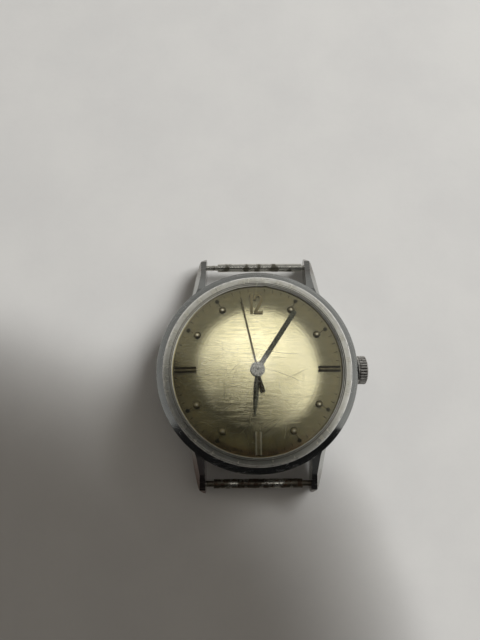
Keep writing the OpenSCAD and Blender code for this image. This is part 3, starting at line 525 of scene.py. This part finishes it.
def bar_steel():
    """Steel spring bar under brown tarnish, with bright rubbed patches; the bar at six has more
    rust, and painted shade darkens its colours.
    """
    look = Look("bar_steel")
    rubbed = look.cloud(1.0, 2.0, 0.5, look.turned(0, (0.50, 0.30, 0.30)))
    # the bar at six: more rust, and painted shade in darker clean and worn colours and fewer bright
    # patches
    south = look.span(look.y, 2.0, -2.0)
    patch = look.span(look.minus(rubbed, look.times(south, 0.16)), 0.37, 0.48)
    clean = look.blend(south, rgb(0.84, 0.82, 0.75), rgb(0.70, 0.68, 0.60))
    worn = look.blend(south, rgb(0.28, 0.26, 0.21), rgb(0.15, 0.13, 0.10))
    base = look.blend(patch, worn, clean)
    scab = look.cloud(1.7, 6.0, 0.72, look.turned(30, shift=(4, 4, 4)))
    rust = look.span(look.plus(scab, look.times(south, 0.10)), 0.64, 0.74)
    base = look.blend(rust, base, rgb(0.055, 0.030, 0.016))
    edge, rounded = look.edges_worn_and_shaded(0.05)
    base = look.blend(look.times(edge, 0.3), base, rgb(0.55, 0.50, 0.42))
    look.set("Base Color", base)
    rough = look.span(patch, 0.0, 1.0, 0.36, 0.23)
    look.set("Roughness", look.most(rough, look.times(rust, 0.8)))
    look.set("Metallic", look.span(rust, 0.0, 1.0, 1.0, 0.3))
    grain = look.cloud(10.0, 4.0, 0.7, look.turned(0, (0.5, 1.0, 1.0)))
    look.set("Normal", look.relief(look.plus(grain, rust), 0.003, rounded))
    return look


def rust_scale():
    """Dark flaking rust with a few bright metallic grains."""
    look = Look("rust_scale")
    crust = look.cloud(4.5, 6.0, 0.75)
    base = look.blend(look.span(crust, 0.38, 0.66), rgb(0.018, 0.012, 0.008),
                      rgb(0.11, 0.058, 0.028))
    glint = look.specks(7.0, 0.3, 0.22)
    look.set("Base Color", look.blend(glint, base, rgb(0.66, 0.60, 0.50)))
    look.set("Metallic", glint)
    look.set("Roughness", look.span(glint, 0.0, 1.0, 0.8, 0.25))
    look.set("Normal", look.relief(crust, 0.03))
    return look


def grime():
    """Packed wrist grime."""
    look = Look("grime")
    crumbs = look.cloud(5.0, 6.0, 0.75)
    look.set("Base Color", look.blend(look.span(crumbs, 0.4, 0.7), rgb(0.012, 0.010, 0.008),
                                      rgb(0.06, 0.047, 0.03)))
    look.set("Roughness", look.span(crumbs, 0.3, 0.7, 0.55, 0.9))
    look.set("Normal", look.relief(crumbs, 0.02))
    return look


def scratch_fill():
    """Torn acrylic in a scratch: rough, milky and half clear."""
    look = Look("scratch_fill", IOR=1.49, Transmission_Weight=0.65)
    break_up = look.cloud(2.5, 4.0, 0.7)
    look.set("Base Color", look.blend(look.span(break_up, 0.35, 0.65), rgb(0.80, 0.77, 0.64),
                                      rgb(0.42, 0.38, 0.26)))
    look.set("Roughness", look.span(break_up, 0.3, 0.7, 0.3, 0.6))
    look.set("Normal", look.relief(look.cloud(20.0, 2.0, 0.6), 0.004))
    let_lamps_through(look)
    return look


# ---------------------------------------------------------------- looks of the movement
def plate_gilt():
    """Nickel-gilt plate with overlapping circular graining."""
    look = Look("plate", Metallic=1.0)
    cells = look.add("TexVoronoi", {"Vector": look.place, "Scale": 0.85, "Randomness": 0.12})
    rings = look.calc("SINE", look.times(cells.outputs["Distance"], 70.0))
    clouds = look.cloud(0.4, 5.0, 0.6)
    base = look.blend(look.span(clouds, 0.35, 0.7), rgb(0.80, 0.74, 0.56), rgb(0.68, 0.60, 0.42))
    base = look.blend(look.span(look.cloud(1.3, 5.0, 0.7), 0.62, 0.8, 0.0, 0.5), base,
                      rgb(0.30, 0.22, 0.12))
    look.set("Base Color", base)
    look.set("Roughness", look.span(rings, -1.0, 1.0, 0.22, 0.36))
    look.set("Normal", look.relief(look.times(rings, 0.5), 0.003))
    return look


def bridge_nickel():
    """Grey nickel bridge with straight graining and bevelled bright edges."""
    look = Look("bridge", Metallic=1.0)
    stripes = look.cloud(1.0, 3.0, 0.6, look.turned(28, (0.3, 11.0, 1.0)))
    clouds = look.cloud(0.5, 5.0, 0.6)
    edge, rounded = look.edges_worn_and_shaded(0.06)
    base = look.blend(look.span(clouds, 0.35, 0.7), rgb(0.74, 0.74, 0.76), rgb(0.60, 0.59, 0.58))
    base = look.blend(look.times(edge, 0.5), base, rgb(0.88, 0.88, 0.88))
    look.set("Base Color", base)
    look.set("Roughness", look.span(look.plus(stripes, clouds), 0.7, 1.3, 0.20, 0.38))
    look.set("Normal", look.relief(stripes, 0.004, rounded))
    return look


def ring_steel():
    """Turned steel spacer."""
    look = Look("spacer", Metallic=1.0)
    radius, angle = look.radius(), look.angle()
    turned = look.cloud(1.0, 3.0, 0.6,
                        look.combine(look.times(radius, 12.0), look.times(angle, 0.8), look.z))
    base = look.blend(look.span(look.cloud(0.5, 5.0, 0.6), 0.35, 0.7), rgb(0.58, 0.58, 0.59),
                      rgb(0.42, 0.41, 0.39))
    look.set("Base Color", base)
    look.set("Roughness", look.span(turned, 0.3, 0.7, 0.28, 0.45))
    look.set("Normal", look.relief(turned, 0.004))
    return look


def movement_looks():
    """Looks of the slots inside the watch, each with its own grain, tarnish and wear."""
    return {
        "tube": metal("tube", (0.66, 0.66, 0.67), (0.45, 0.44, 0.43), (0.16, 0.34), 4.0, 0.4, 0.3),
        "spacer": ring_steel(),
        "plate": plate_gilt(),
        "bridge": bridge_nickel(),
        "screw": metal("screw", (0.12, 0.18, 0.42), (0.10, 0.11, 0.20), (0.14, 0.30), 6.0, 0.5,
                       0.1, 0.04),
        "wheel": metal("wheel", (0.86, 0.68, 0.34), (0.62, 0.44, 0.20), (0.18, 0.34), 7.0, 0.5, 0.1,
                       0.03),
        "pinion": metal("pinion", (0.60, 0.60, 0.62), (0.42, 0.42, 0.43), (0.12, 0.26), 9.0, 0.3,
                        0.15),
        "spring": metal("spring", (0.20, 0.25, 0.40), (0.24, 0.20, 0.22), (0.16, 0.30), 8.0, 0.2),
        "barrel": metal("barrel", (0.80, 0.62, 0.32), (0.56, 0.42, 0.20), (0.20, 0.36), 6.0, 0.5,
                        0.15, 0.04, 0.05),
    }


LOOKS = {
    "case_chrome": case_chrome(),
    "back_steel": back_steel(),
    "gasket": gasket(),
    "acrylic": acrylic(),
    "reflector": chrome_ring(),
    "dial": champagne_dial(),
    "markers": gilt_markers(),
    "crown": crown_steel(),
    "hand_gilt": hand_metal("hand_gilt", (0.58, 0.58, 0.53), (0.34, 0.345, 0.26), 1.8, 4.6),
    "hand_seconds": hand_metal("hand_seconds", (0.42, 0.42, 0.40), (0.20, 0.17, 0.11), 1.3, 2.6),
    "bar_steel": bar_steel(),
    **movement_looks(),
}
INK, LUME, RUST, GRIME, TORN = print_ink(), aged_lume(), rust_scale(), grime(), scratch_fill()


def dress_cad_nodes():
    """Gives every CAD node the look of its material slot."""
    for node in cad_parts.values():
        for slot in node.material_slots:
            slot.material = LOOKS[slot.material.name.split(".")[0]].material


# ---------------------------------------------------------------- mesh building
def put(name, data):
    """Adds an object with the given data to the scene."""
    thing = bpy.data.objects.new(name, data)
    bpy.context.scene.collection.objects.link(thing)
    return thing


def piece(name, mesh, look, body, smooth=True):
    """Makes an object from a bmesh in millimetres and hangs it on a body."""
    bmesh.ops.recalc_face_normals(mesh, faces=mesh.faces[:])
    for face in mesh.faces:
        face.smooth = smooth
    bmesh.ops.scale(mesh, vec=(MM, MM, MM), verts=mesh.verts[:])
    data = bpy.data.meshes.new(name)
    mesh.to_mesh(data)
    mesh.free()
    thing = put(name, data)
    data.materials.append(look.material)
    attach(thing, body)
    return thing


def band(mesh, near, far):
    """Faces between two closed loops with as many points each."""
    for i in range(len(near)):
        j = (i + 1) % len(near)
        mesh.faces.new((near[i], near[j], far[j], far[i]))


def skin(mesh, loops):
    """Closed body over a row of loops, with a face over the first and the last."""
    for near, far in zip(loops, loops[1:]):
        band(mesh, near, far)
    mesh.faces.new(loops[0])
    mesh.faces.new(loops[-1][::-1])


def turned_ring(mesh, angle, points):
    """One ring of a turned shape: (radius, height) points at an angle about the watch's axis."""
    return [mesh.verts.new((r * math.cos(angle), r * math.sin(angle), h)) for r, h in points]


def lathe(outline, steps, move):
    """Closed outline of (radius, height) points turned about the watch's axis.

    move(index, step, radius, height) gives each point's own radius and height."""
    mesh = bmesh.new()
    rings = []
    for step in range(steps):
        points = [move(index, step, *point) for index, point in enumerate(outline)]
        rings.append(turned_ring(mesh, 2 * math.pi * step / steps, points))
    for near, far in zip(rings, rings[1:] + rings[:1]):
        band(mesh, near, far)
    return mesh


def clockwise(radius, degrees, across=0.0):
    """Point at a radius and a clock angle, shifted sideways."""
    a = math.radians(degrees)
    return (radius * math.sin(a) + across * math.cos(a),
            radius * math.cos(a) - across * math.sin(a))


# ---------------------------------------------------------------- dial furniture
PEARL_HOURS = (1, 2, 4, 5, 7, 8, 10, 11)
INK_LIFT, SINK = 0.008, 0.01  # how far print stands out of the dial, and how deep pieces sit in it


def radial_mark(mesh, degrees, inner, outer, width):
    """Printed stroke along a radius."""
    half = width / 2
    outline = [clockwise(inner, degrees, -half), clockwise(outer, degrees, -half),
               clockwise(outer, degrees, half), clockwise(inner, degrees, half)]
    skin(mesh, [[mesh.verts.new((x, y, dial_face.height(x, y) + lift)) for x, y in outline]
                for lift in (INK_LIFT, -SINK)])


def dial_print():
    """Minute track of fine strokes, and a stroke from each pearl towards its lume dot."""
    mesh = bmesh.new()
    for minute in range(60):
        if minute % 5:
            radial_mark(mesh, minute * 6, inner=13.5, outer=14.1, width=0.10)
    for hour in PEARL_HOURS:
        radial_mark(mesh, hour * 30, inner=12.62, outer=13.25, width=0.11)
    piece("dial_print", mesh, INK, "case", smooth=False)


def lume_dots():
    """Domed blobs of old luminous paint outside the pearls."""
    mesh = bmesh.new()
    from_axis, dot_r, thickness = 13.62, 0.38, 0.075
    around, rings = 20, 5
    for hour in PEARL_HOURS:
        cx, cy = clockwise(from_axis, hour * 30)
        wobble = [1 + 0.10 * chance.uniform(-1, 1) for _ in range(around)]
        loops = []
        for ring in range(rings):
            share = 1 - ring / rings
            dome = thickness * math.sqrt(max(0.0, 1 - share**2))
            loop = []
            for i in range(around):
                a = 2 * math.pi * i / around
                r = dot_r * share * wobble[i]
                x, y = cx + r * math.cos(a), cy + r * math.sin(a)
                loop.append(mesh.verts.new((x, y, dial_face.height(x, y) - SINK + dome)))
            loops.append(loop)
        skin(mesh, loops)
    piece("lume_dots", mesh, LUME, "case")


# ---------------------------------------------------------------- ring and crystal
def tension_ring():
    """The reflector ring: three steps, two of them knurled, and a skirt down to the dial."""
    outer, foot, top = ring_hi.x, ring_lo.z, ring_hi.z
    skirt_r, skirt_foot = 14.545, 6.03
    # the steps: how far in from the rim and how far below its top
    falls = [(0.0, 0.14), (0.02, 0.12), (0.07, 0.09), (0.22, 0.045), (0.36, 0.008), (0.39, 0.0),
             (0.41, 0.012), (0.42, 0.04), (0.43, 0.205), (0.50, 0.195), (0.60, 0.168), (0.67, 0.15),
             (0.70, 0.155), (0.715, 0.18), (0.725, 0.415), (0.83, 0.40), (0.92, 0.39),
             (0.96, 0.405)]
    outline = [(RING_WALL_R, skirt_foot), (skirt_r, skirt_foot), (skirt_r, foot), (outer, foot)]
    outline += [(outer - inward, top - fall) for inward, fall in falls]
    outline.append((RING_WALL_R, top - 0.43))
    knurled = (7, 8, 13, 14)  # points of the outline on the two knurled steps
    ribs, knurl_depth = 300, 0.025

    def knurl(index, step, radius, height):
        if index in knurled and step % 2:
            return radius, height - knurl_depth
        return radius, height

    mesh = lathe(outline, ribs * 2, knurl)
    ring = piece("tension_ring", mesh, LOOKS["reflector"], "case", smooth=False)
    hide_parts("reflector_ring")


def crystal_dome():
    """The crystal, turned finely, a domed shell with four small chips in its shoulder."""
    top, wall, foot = crystal_hi.z, crystal_r, crystal_lo.z
    dome_r, dome_edge, dome_rings = 15.4, 8.1, 36
    hollow_r, hollow_top, hollow_edge, hollow_rings = 15.0, top - 1.0, foot + 0.82, 24
    outer = [(dome_r * i / dome_rings, top - (top - dome_edge) * (i / dome_rings) ** 2)
             for i in range(dome_rings, 0, -1)]
    inner = [(hollow_r * i / hollow_rings,
              hollow_top - (hollow_top - hollow_edge) * (i / hollow_rings) ** 2)
             for i in range(1, hollow_rings + 1)]
    shoulder = [(wall - inward, foot + rise) for inward, rise in
                ((0.0, 0.9), (0.0, 1.06), (0.03, 1.16), (0.09, 1.27), (0.15, 1.35), (0.26, 1.44))]
    # where about the axis, half width as an angle, and depth
    chips = [(math.radians(83.5), 0.045, 0.30), (math.radians(-38.5), 0.035, 0.12),
             (math.radians(-43.5), 0.020, 0.10), (math.radians(20.0), 0.012, 0.08)]

    def chip(angle, radius, height):
        if radius < 14.2 or height < foot + 1.0:
            return radius, height
        for middle, width, depth in chips:
            away = math.remainder(angle - middle, 2 * math.pi) / width
            ragged = 0.6 + 0.8 * noise.noise((away * 3, radius, 1))
            bite = depth * max(0.0, 1 - away * away) * ragged
            radius, height = radius - bite * 0.25, height - max(0.0, bite)
        return radius, height

    profile = [(wall - 0.25, foot), (wall, foot)] + shoulder + outer
    mesh = bmesh.new()
    steps = 288
    rings, under_rings = [], []
    for step in range(steps):
        angle = 2 * math.pi * step / steps
        rings.append(turned_ring(mesh, angle, [chip(angle, *point) for point in profile]))
        under_rings.append(turned_ring(mesh, angle, inner))
    apex, hollow = mesh.verts.new((0, 0, top)), mesh.verts.new((0, 0, hollow_top))
    for step in range(steps):
        near, far = rings[step], rings[(step + 1) % steps]
        for i in range(len(near) - 1):
            mesh.faces.new((near[i], far[i], far[i + 1], near[i + 1]))
        mesh.faces.new((near[-1], far[-1], apex))
        near, far = under_rings[step], under_rings[(step + 1) % steps]
        for i in range(len(near) - 1):
            mesh.faces.new((near[i], near[i + 1], far[i + 1], far[i]))
        mesh.faces.new((hollow, near[0], far[0]))
        mesh.faces.new((near[-1], rings[step][0], rings[(step + 1) % steps][0], far[-1]))
    dome = piece("crystal_dome", mesh, LOOKS["acrylic"], "case")
    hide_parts("crystal")


def scratch(mesh, points, width, lift):
    """Thin sliver that follows points over the crystal and tapers at both ends."""
    last = len(points) - 1
    rails = []
    for i, (x, y) in enumerate(points):
        before, after = points[max(0, i - 1)], points[min(last, i + 1)]
        along = Vector((after[0] - before[0], after[1] - before[1])).normalized()
        half = width / 2 * (0.25 + 0.75 * math.sin(math.pi * (i + 0.2) / (last + 0.4)))
        dx, dy = -along.y * half, along.x * half
        rail = []
        for px, py, rise in ((x - dx, y - dy, -0.003), (x, y, lift), (x + dx, y + dy, -0.003),
                             (x, y, -0.012)):
            z = min(crystal_hi.z, crystal_face.height(px, py) + rise)
            rail.append(mesh.verts.new((px, py, z)))
        rails.append(rail)
    skin(mesh, rails)


def arc(start, end, sag, count=26):
    """Points on a shallow bow between two places."""
    (x0, y0), (x1, y1) = start, end
    nx, ny = y0 - y1, x1 - x0
    points = []
    for i in range(count):
        t = i / (count - 1)
        bow = sag * 4 * t * (1 - t)
        points.append((x0 + (x1 - x0) * t + nx * bow, y0 + (y1 - y0) * t + ny * bow))
    return points


def crystal_scratches():
    """Two long scratches across the middle, a crack at 12, and a spread of fine ones."""
    mesh = bmesh.new()
    scratch(mesh, arc((-1.2, 3.3), (7.6, 2.2), -0.03), 0.07, 0.003)
    scratch(mesh, arc((1.2, -0.2), (7.4, -2.6), 0.04), 0.06, 0.003)
    scratch(mesh, arc((-0.1, 13.7), (0.15, 14.9), 0.02, 8), 0.08, 0.002)
    fine_ones = 46
    for _ in range(fine_ones):
        a = math.radians(chance.gauss(230, 55))
        r = chance.uniform(2.5, 13.0)
        x, y = r * math.cos(a), r * math.sin(a)
        turn = chance.choice((chance.gauss(20, 14), chance.gauss(-8, 10), chance.gauss(75, 25)))
        length = chance.uniform(0.8, 4.2)
        dx, dy = length * math.cos(math.radians(turn)), length * math.sin(math.radians(turn))
        if math.hypot(x + dx, y + dy) < 13.8:
            scratch(mesh, arc((x, y), (x + dx, y + dy), chance.uniform(-0.12, 0.12), 14),
                    chance.uniform(0.02, 0.045), 0.002)
    piece("crystal_scratches", mesh, TORN, "case")


# ---------------------------------------------------------------- grime and rust
def bezel_grime():
    """Broken line of dirt in the seam between the crystal and the bezel lip."""
    seam, top = crystal_r, case_hi.z
    steps = 420

    def crumble(index, step, radius, height):
        angle = 2 * math.pi * step / steps
        n = noise.noise((math.cos(angle) * 9, math.sin(angle) * 9, index * 0.2))
        if index in (2, 3):
            return radius + 0.03 * n, height + 0.004 * n
        return radius, height

    outline = [(seam + 0.002, top - 0.2), (seam + 0.006, top), (seam + 0.10, top + 0.012),
               (seam + 0.11, top - 0.004), (seam + 0.038, top - 0.2)]
    piece("bezel_grime", lathe(outline, steps, crumble), GRIME, "case")


def rust_sleeve(name, tube, body, amount, seed):
    """Scabs of rust that stand out of a spring bar's tube, more of them towards its right end."""
    middle, radius, x0, x1 = bar_places(tube)
    under, thickest, margin = radius - 0.012, 0.04, 0.05
    mesh = bmesh.new()
    along, around = 190, 56
    rings = []
    for i in range(along + 1):
        x = x0 + margin + (x1 - x0 - 2 * margin) * i / along
        heavy = 0.5 + 0.5 * (x - x0) / (x1 - x0)
        ring = []
        for j in range(around):
            a = 2 * math.pi * j / around
            place = Vector((x * 1.1, math.cos(a) * 1.5, math.sin(a) * 1.5 + seed))
            scab = noise.fractal(place, 0.8, 2.1, 5) - 0.34 + amount * heavy
            r = under
            if 0 < i < along:
                r += min(thickest, max(0.0, scab * 0.10))
            ring.append(mesh.verts.new((x, middle.y + r * math.cos(a), middle.z + r * math.sin(a))))
        rings.append(ring)
    skin(mesh, rings)
    piece(name, mesh, RUST, body)


# ---------------------------------------------------------------- studio
PANEL_LIGHT, BACKDROP = rgb(2.14, 2.11, 2.03), rgb(0.60, 0.60, 0.59)
WARM_BOUNCE = (1.12, 1.03, 0.95)  # tint of the room's light on matt things


def pale_floor():
    """Large pale table top, faintly mottled; 1.2 m wide."""
    look = Look("table")
    mottle = look.cloud(0.05, 5.0, 0.6)
    fine = look.cloud(1.2, 4.0, 0.6)
    base = look.blend(look.span(mottle, 0.3, 0.7), rgb(0.66, 0.66, 0.65), rgb(0.62, 0.62, 0.615))
    base = look.blend(look.times(fine, 0.10), base, rgb(0.55, 0.55, 0.54))
    look.set("Base Color", base)
    look.set("Roughness", look.span(fine, 0.3, 0.7, 0.5, 0.65))
    look.set("Normal", look.relief(fine, 0.01))
    mesh = bmesh.new()
    bmesh.ops.create_grid(mesh, x_segments=8, y_segments=8, size=0.6)
    data = bpy.data.meshes.new("floor")
    mesh.to_mesh(data)
    mesh.free()
    data.materials.append(look.material)
    floor = put("floor", data)


def ceiling_panel(look, east, north, middle, half):
    """Mask of a round ceiling light; east and north are slopes away from straight up."""
    edge, falloff = 1.33, 1.45
    away = []
    for slope, centre, reach in zip((east, north), middle, half):
        offset = look.calc("DIVIDE", look.minus(slope, centre), reach)
        away.append(look.times(offset, offset))
    distance = look.calc("SQRT", look.plus(*away))
    return look.calc("POWER", look.span(distance, edge, 0.0), falloff)


def surroundings():
    """Grey room, with a pale ceiling light overhead and a dark side towards 6 o'clock."""
    world = bpy.data.worlds.new("studio")
    bpy.context.scene.world = world
    world.use_nodes = True
    look = Nodes(world.node_tree)
    background = look.tree.nodes["Background"]
    way = look.add("TexCoord").outputs["Generated"]
    x, y, z = look.add("SeparateXYZ", {0: way}).outputs
    walls = look.blend(look.span(z, 0.1, 0.6), rgb(0.28, 0.282, 0.272), rgb(0.21, 0.21, 0.205))
    room = look.blend(look.span(z, 0.70, 0.92), walls, rgb(0.155, 0.155, 0.15))
    # a paler stretch of wall to the left, which the case and the ring mirror
    glow = look.times(look.span(z, 0.45, 0.58), look.span(z, 0.86, 0.76))
    glow = look.times(glow, look.span(y, -0.25, -0.05))
    glow = look.times(glow, look.span(x, 0.0, -0.45, 0.2, 1.0))
    room = look.blend(glow, room, rgb(0.44, 0.44, 0.42))
    # the whole room is brighter on the window's side
    side = look.span(x, -0.5, 0.5, 0.82, 1.14)
    room = look.add("VectorMath", {0: room, "Scale": side}, operation="SCALE").outputs["Vector"]
    up = look.most(z, 0.001)
    east, north = look.calc("DIVIDE", x, up), look.calc("DIVIDE", y, up)
    skew = look.plus(north, look.times(east, 0.28))
    # the light: a wide patch and a weaker one beside it
    second = ceiling_panel(look, east, north, (0.133, 0.055), (0.085, 0.093))
    panel = look.most(ceiling_panel(look, east, north, (0.043, 0.134), (0.160, 0.095)),
                      look.times(second, 0.72))
    panel = look.times(panel, look.calc("GREATER_THAN", z, 0.0))
    # the dark side, seen by steep metal, and a leaning edge of it that only the dial mirrors
    flat = look.hypot(x, y)
    facing = look.calc("DIVIDE", look.times(y, -1.0), look.most(flat, 0.001))
    facing = look.minus(facing, look.span(z, 0.78, 0.88, 0.0, 0.25))
    dark_side = look.times(look.span(facing, 0.505, 0.52), look.span(z, -0.2, 0.0))
    dark_side = look.times(dark_side, look.span(z, 0.55, 0.65, 1.0, 0.78))
    leaning = look.times(look.span(skew, 0.06, 0.02), look.span(z, 0.75, 0.88))
    leaning = look.times(leaning, look.span(east, 0.34, 0.08, 0.25, 1.0))
    room = look.blend(leaning, room, rgb(0.035, 0.034, 0.032))
    room = look.blend(dark_side, room, rgb(0.008, 0.008, 0.008))
    room = look.blend(panel, room, PANEL_LIGHT)
    ray = look.add("LightPath").outputs
    room = look.blend(ray["Is Diffuse Ray"], room, look.add(
        "VectorMath", {0: room, 1: WARM_BOUNCE}, operation="MULTIPLY").outputs["Vector"])
    room = look.blend(ray["Is Camera Ray"], room, BACKDROP)
    look.tree.links.new(room, background.inputs["Color"])
    background.inputs["Strength"].default_value = 1.0
    world.cycles.sampling_method = "NONE"


def window_light():
    """Soft window light from the upper right; the metal mirrors the room and not the window."""
    lamp = bpy.data.lights.new("window", "AREA")
    lamp.shape = "RECTANGLE"
    lamp.size, lamp.size_y = 0.85, 0.6
    lamp.energy = 24.0
    lamp.color = (1.0, 0.995, 0.98)
    light = put("window", lamp)
    place = Vector((0.90, 0.60, 0.78))
    light.location = place
    light.rotation_euler = (-place).to_track_quat("-Z", "Y").to_euler()
    light.visible_glossy = light.visible_transmission = False


def soft_shade():
    """A card out of sight that keeps the window light off the lower left of the table."""
    height = 18.0
    # the edge is given as its shadow on the table; the card hangs back towards the window from it
    towards_window, slope = Vector((0.832, 0.555)), 1.387
    shift = towards_window * slope * height
    edge = [(-700, 156), (-60, 8), (-38, 0), (-5, -11), (12, -22), (19, -42), (26, -75),
            (135, -700)]
    corners = [Vector(c) + shift for c in edge + [(-700, -700)]]
    data = bpy.data.meshes.new("shade")
    data.from_pydata([(c.x * MM, c.y * MM, height * MM) for c in corners], [],
                     [tuple(range(len(corners)))])
    look = Look("shade_card")
    look.set("Base Color",
             look.blend(look.cloud(0.1), rgb(0.10, 0.09, 0.08), rgb(0.14, 0.125, 0.11)))
    data.materials.append(look.material)
    card = put("shade", data)
    card.visible_camera = card.visible_glossy = card.visible_diffuse = False
    card.visible_transmission = False


def camera():
    """Phone held above the watch, a little towards 6 o'clock and tilted to face it."""
    place, tilt, focal_length = (-3.27, -6.76, 88.83), (10.566, -0.165, -0.463), 27.06
    lens = bpy.data.cameras.new("camera")
    lens.lens = focal_length
    lens.clip_start, lens.clip_end = 0.005, 10.0
    view = put("camera", lens)
    view.location = Vector(place) * MM
    view.rotation_euler = [math.radians(a) for a in tilt]
    bpy.context.scene.camera = view


dress_cad_nodes()
dial_print()
lume_dots()
tension_ring()
crystal_dome()
crystal_scratches()
bezel_grime()
rust_sleeve("bar_6_rust", "bar_6_tube", "bar_6", 0.24, 8.0)
pale_floor()
surroundings()
window_light()
soft_shade()
camera()
bpy.context.scene.view_settings.view_transform = "Standard"
